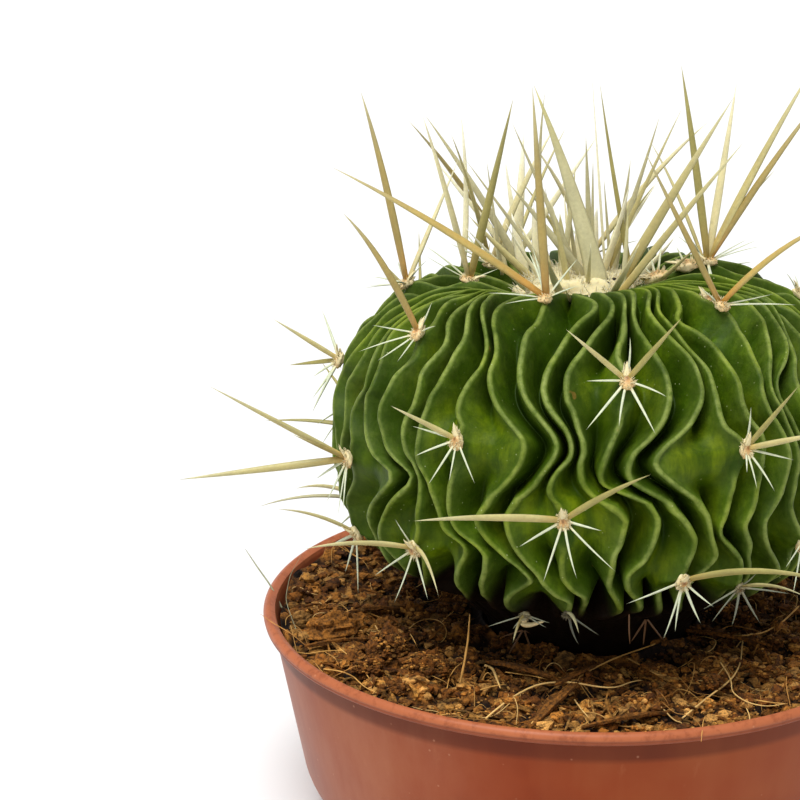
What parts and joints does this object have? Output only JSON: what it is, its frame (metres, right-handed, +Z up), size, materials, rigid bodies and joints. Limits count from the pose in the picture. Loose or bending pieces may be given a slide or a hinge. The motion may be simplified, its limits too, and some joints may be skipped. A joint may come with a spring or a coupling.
{
  "type": "potted round cactus",
  "caption": "Squat round cactus with thin wavy ribs and long curved spines, growing in a shallow terracotta-coloured plastic pot that rests on its flat base.",
  "frame": {"origin": "middle of the pot's flat underside", "axes": "+Z up out of the pot, -Y towards the plant's front"},
  "size_m": [0.1282, 0.1143, 0.1287],
  "materials": {
    "pot_plastic": "terracotta-coloured moulded plastic, satin",
    "coir_soil": "coir and peat crumbs with loose fibres, matt",
    "cactus_skin": "waxy green skin, paler along the rib edges, satin",
    "crown_spine": "papery cream spines and wool",
    "spine": "tan central spines, white radial spines, cream felt"
  },
  "bodies": {
    "root": {"pot": "pot_plastic", "soil": "coir_soil", "cactus_body": "cactus_skin", "crown_spines": "crown_spine", "spines_01": "spine", "spines_02": "spine", "spines_03": "spine", "spines_04": "spine", "spines_05": "spine", "spines_06": "spine", "spines_07": "spine", "spines_08": "spine", "spines_09": "spine", "spines_10": "spine", "spines_11": "spine", "spines_12": "spine", "spines_13": "spine", "spines_14": "spine", "spines_15": "spine", "spines_16": "spine", "spines_17": "spine", "spines_18": "spine", "spines_19": "spine", "spines_20": "spine", "spines_21": "spine", "spines_22": "spine", "spines_23": "spine", "spines_24": "spine", "spines_25": "spine", "spines_26": "spine", "spines_27": "spine", "spines_28": "spine", "spines_29": "spine", "spines_30": "spine", "spines_31": "spine", "spines_32": "spine", "spines_33": "spine", "spines_34": "spine", "spines_35": "spine", "spines_36": "spine", "spines_37": "spine", "spines_38": "spine", "spines_39": "spine"}
  },
  "joints": []
}
